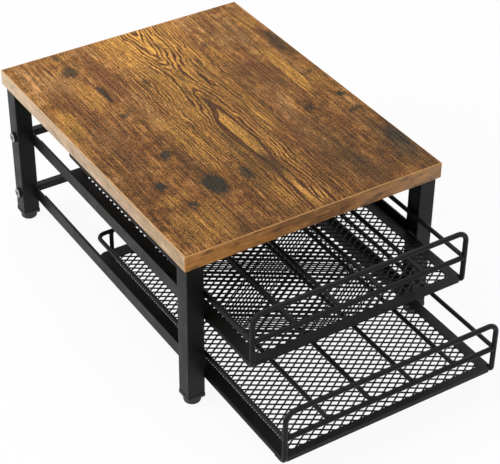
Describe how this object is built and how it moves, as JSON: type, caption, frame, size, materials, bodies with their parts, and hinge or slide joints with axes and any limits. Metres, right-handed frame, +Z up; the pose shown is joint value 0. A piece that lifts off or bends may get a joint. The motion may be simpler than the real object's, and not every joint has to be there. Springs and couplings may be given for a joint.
{
  "type": "coffee capsule holder",
  "caption": "Low capsule stand with a flat wood-print top on a black square tube frame and open wire drawers that slide out at the front, with dividers and mesh floors.",
  "frame": {"origin": "on the floor, under the centre of the part's outline in plan, with both drawers pulled out as at rest", "axes": "+X to the right, +Y to the back and +Z up, seen from the side where the drawers open"},
  "size_m": [0.33, 0.5868, 0.2114],
  "materials": {
    "wood_print": "satin",
    "edge_band_brown": "satin",
    "edge_band_pale": "satin",
    "black_powder_coat": "matte",
    "black_plastic": "matte",
    "zinc_steel": "satin",
    "black_steel": "satin"
  },
  "bodies": {
    "frame": {"top_board": "wood_print", "edge_band_front": "edge_band_brown", "edge_band_rear": "edge_band_brown", "edge_band_left": "edge_band_pale", "edge_band_right": "edge_band_pale", "board_screws": "zinc_steel", "leg_front_left": "black_powder_coat", "foot_front_left": "black_plastic", "mounting_plate_front_left": "black_powder_coat", "leg_front_right": "black_powder_coat", "foot_front_right": "black_plastic", "mounting_plate_front_right": "black_powder_coat", "leg_rear_left": "black_powder_coat", "foot_rear_left": "black_plastic", "mounting_plate_rear_left": "black_powder_coat", "leg_rear_right": "black_powder_coat", "foot_rear_right": "black_plastic", "mounting_plate_rear_right": "black_powder_coat", "lower_rail_left": "black_powder_coat", "lower_rail_right": "black_powder_coat", "lower_rear_crossbar": "black_powder_coat", "upper_rail_left": "black_powder_coat", "upper_rail_right": "black_powder_coat", "upper_rear_crossbar": "black_powder_coat", "crossbar_inserts": "zinc_steel", "crossbar_bolts": "black_steel"},
    "upper_drawer": {"upper_drawer_handle_hoop": "black_powder_coat", "upper_drawer_floor_wire": "black_powder_coat", "upper_drawer_mid_rail": "black_powder_coat", "upper_drawer_rim_wire": "black_powder_coat", "upper_drawer_divider_1": "black_powder_coat", "upper_drawer_divider_2": "black_powder_coat", "upper_drawer_divider_3": "black_powder_coat", "upper_drawer_divider_4": "black_powder_coat", "upper_drawer_rear_strut_left": "black_powder_coat", "upper_drawer_rear_strut_right": "black_powder_coat", "upper_drawer_floor_border": "black_powder_coat", "upper_drawer_floor_mesh": "black_powder_coat"},
    "lower_drawer": {"lower_drawer_handle_hoop": "black_powder_coat", "lower_drawer_floor_wire": "black_powder_coat", "lower_drawer_mid_rail": "black_powder_coat", "lower_drawer_rim_wire": "black_powder_coat", "lower_drawer_divider_1": "black_powder_coat", "lower_drawer_divider_2": "black_powder_coat", "lower_drawer_divider_3": "black_powder_coat", "lower_drawer_divider_4": "black_powder_coat", "lower_drawer_rear_strut_left": "black_powder_coat", "lower_drawer_rear_strut_right": "black_powder_coat", "lower_drawer_floor_border": "black_powder_coat", "lower_drawer_floor_mesh": "black_powder_coat"}
  },
  "joints": [
    {"name": "upper_drawer_slide", "type": "slide", "parent": "frame", "child": "upper_drawer", "axis": [0, -1, 0], "range_m": [-0.0911, 0.0939]},
    {"name": "lower_drawer_slide", "type": "slide", "parent": "frame", "child": "lower_drawer", "axis": [0, -1, 0], "range_m": [-0.1548, 0.0302]}
  ]
}
